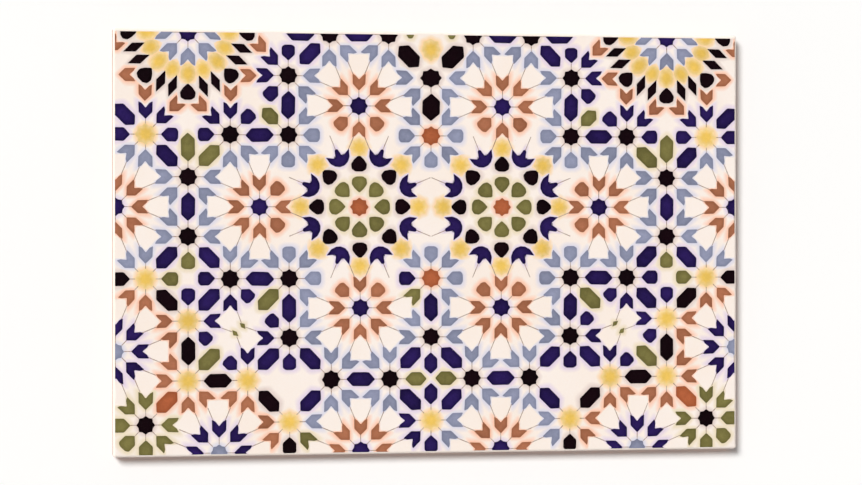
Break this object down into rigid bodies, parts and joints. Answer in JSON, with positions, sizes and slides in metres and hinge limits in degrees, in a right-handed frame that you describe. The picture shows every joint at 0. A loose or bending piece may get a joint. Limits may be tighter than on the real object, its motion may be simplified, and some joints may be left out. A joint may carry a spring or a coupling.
{
  "type": "backsplash tile",
  "caption": "Rectangular glazed ceramic wall tile, printed on its face with a star-and-rosette mosaic pattern, with a soft glazed edge and a ribbed key on its back.",
  "frame": {"origin": "middle of the back, on the plane of the rib tops that the tile rests on", "axes": "+X along the long side, +Y along the short side towards the edge that the two large sunburst rosettes are cut by, +Z out of the glazed face"},
  "size_m": [0.3, 0.2, 0.008],
  "materials": {
    "glazed_clay": "glossy white glaze with a printed mosaic pattern on the face, bare fired clay on the sides and back"
  },
  "bodies": {
    "root": {"tile": "glazed_clay"}
  },
  "joints": []
}
